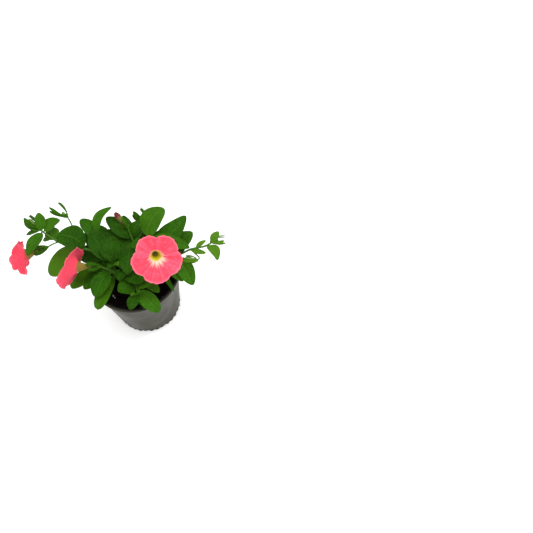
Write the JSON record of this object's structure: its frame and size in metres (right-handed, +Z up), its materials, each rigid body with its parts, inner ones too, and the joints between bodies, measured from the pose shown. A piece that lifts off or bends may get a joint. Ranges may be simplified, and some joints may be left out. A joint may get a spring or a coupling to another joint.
{
  "type": "potted petunia",
  "caption": "Young petunia plant with broad leaves, trailing shoots, open coral flowers and closed buds, growing in a round tapered black nursery pot.",
  "frame": {"origin": "on the pot's axis at the level its foot stands on", "axes": "+Z up along the pot's axis, +X towards the picture's right along the trailing shoots, +Y away from the picture's viewer"},
  "size_m": [0.242, 0.1371, 0.1667],
  "materials": {
    "pot_plastic": "satin black moulded polypropylene",
    "growing_mix": "rough dark peat mix with white perlite grains",
    "foliage": "soft green leaf with fine hairs, satin",
    "petal": "matte velvety coral petal with a cream star round the throat",
    "closed_petal": "matte dull red furled petal with an olive tube"
  },
  "bodies": {
    "root": {"pot": "pot_plastic", "soil": "growing_mix", "shoot_left": "foliage", "shoot_front_left": "foliage", "shoot_crown": "foliage", "shoot_back_left": "foliage", "shoot_back": "foliage", "shoot_back_right": "foliage", "shoot_right": "foliage", "shoot_bloom": "foliage", "shoot_front": "foliage", "corolla_front": "petal", "corolla_left": "petal", "corolla_far_left": "petal", "bud_red": "closed_petal"}
  },
  "joints": []
}
